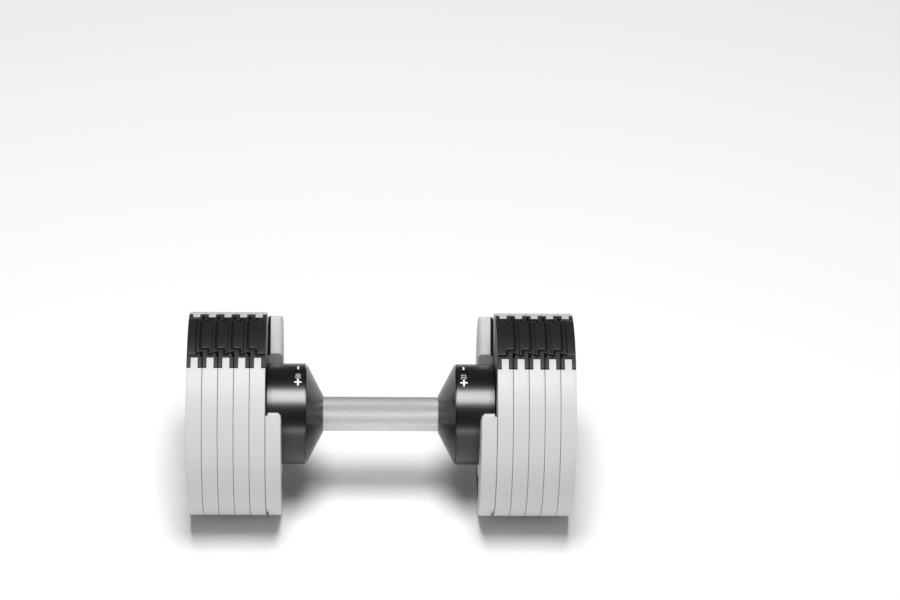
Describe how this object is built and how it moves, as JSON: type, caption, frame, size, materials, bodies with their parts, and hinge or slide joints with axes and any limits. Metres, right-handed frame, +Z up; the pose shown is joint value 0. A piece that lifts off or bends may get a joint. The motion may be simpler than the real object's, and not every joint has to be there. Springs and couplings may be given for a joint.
{
  "type": "adjustable dumbbell",
  "caption": "Adjustable dumbbell: slotted round plates joined by dovetail inserts, horseshoe inner plates, cone housings with dials, and a twist grip that slides lock bars through the stacks.",
  "frame": {"origin": "floor level below the middle of the grip", "axes": "+X along the grip towards the end whose dial reads in kilograms, +Y away from the side from which the dial reads + first, +Z up with the open slots on top"},
  "size_m": [0.3536, 0.188, 0.1854],
  "materials": {
    "plate_paint": "satin white powder coat on cut steel plate",
    "insert_plastic": "fine-grained black moulding",
    "housing_plastic": "satin black moulding",
    "dial_plastic": "matt black with white printed numbers",
    "window_clear": "clear polished plastic",
    "bearing_plastic": "natural acetal",
    "grip_steel": "fine diamond knurl, satin nickel",
    "mechanism_steel": "turned and milled steel, lightly oiled",
    "fastener_steel": "zinc-plated steel"
  },
  "bodies": {
    "handle_and_plates": {"plate_1_left": "plate_paint", "plate_2_left": "plate_paint", "plate_3_left": "plate_paint", "plate_4_left": "plate_paint", "plate_5_left": "plate_paint", "plate_insert_1_left": "insert_plastic", "plate_insert_2_left": "insert_plastic", "plate_insert_3_left": "insert_plastic", "plate_insert_4_left": "insert_plastic", "plate_insert_5_left": "insert_plastic", "horseshoe_plate_left": "plate_paint", "horseshoe_insert_left": "insert_plastic", "horseshoe_screw_front_left": "fastener_steel", "horseshoe_screw_back_left": "fastener_steel", "housing_barrel_left": "housing_plastic", "housing_cone_left": "housing_plastic", "dial_window_left": "window_clear", "grip_bush_left": "bearing_plastic", "bar_guide_left": "bearing_plastic", "thrust_washer_left": "bearing_plastic", "retaining_ring_left": "fastener_steel", "hub_screw_left": "fastener_steel", "plate_1_right": "plate_paint", "plate_2_right": "plate_paint", "plate_3_right": "plate_paint", "plate_4_right": "plate_paint", "plate_5_right": "plate_paint", "plate_insert_1_right": "insert_plastic", "plate_insert_2_right": "insert_plastic", "plate_insert_3_right": "insert_plastic", "plate_insert_4_right": "insert_plastic", "plate_insert_5_right": "insert_plastic", "horseshoe_plate_right": "plate_paint", "horseshoe_insert_right": "insert_plastic", "horseshoe_screw_front_right": "fastener_steel", "horseshoe_screw_back_right": "fastener_steel", "housing_barrel_right": "housing_plastic", "housing_cone_right": "housing_plastic", "dial_window_right": "window_clear", "grip_bush_right": "bearing_plastic", "bar_guide_right": "bearing_plastic", "thrust_washer_right": "bearing_plastic", "retaining_ring_right": "fastener_steel", "hub_screw_right": "fastener_steel", "detent_ball": "fastener_steel", "detent_spring": "fastener_steel", "spine_tube": "mechanism_steel"},
    "grip": {"grip_tube": "grip_steel", "cam_sleeve": "mechanism_steel", "dial_left": "dial_plastic", "dial_right": "dial_plastic", "grip_pin_left": "fastener_steel", "grip_pin_right": "fastener_steel"},
    "lock_bar_left": {"lock_bar_left": "mechanism_steel", "follower_pin_left": "fastener_steel"},
    "lock_bar_right": {"lock_bar_right": "mechanism_steel", "follower_pin_right": "fastener_steel"}
  },
  "joints": [
    {"name": "grip_twist", "type": "hinge", "parent": "handle_and_plates", "child": "grip", "pos_m": [0, 0, 0.09139], "axis": [1, 0, 0], "range_deg": [-324, 0]},
    {"name": "lock_bar_left_slide", "type": "slide", "parent": "handle_and_plates", "child": "lock_bar_left", "axis": [-1, 0, 0], "range_m": [-0.07175, 0]},
    {"name": "lock_bar_right_slide", "type": "slide", "parent": "handle_and_plates", "child": "lock_bar_right", "axis": [1, 0, 0], "range_m": [-0.07175, 0]}
  ],
  "couplings": [
    {"joint": "lock_bar_left_slide", "follows": "grip_twist", "m_per_rad": 0.012688},
    {"joint": "lock_bar_right_slide", "follows": "grip_twist", "m_per_rad": 0.012688}
  ]
}
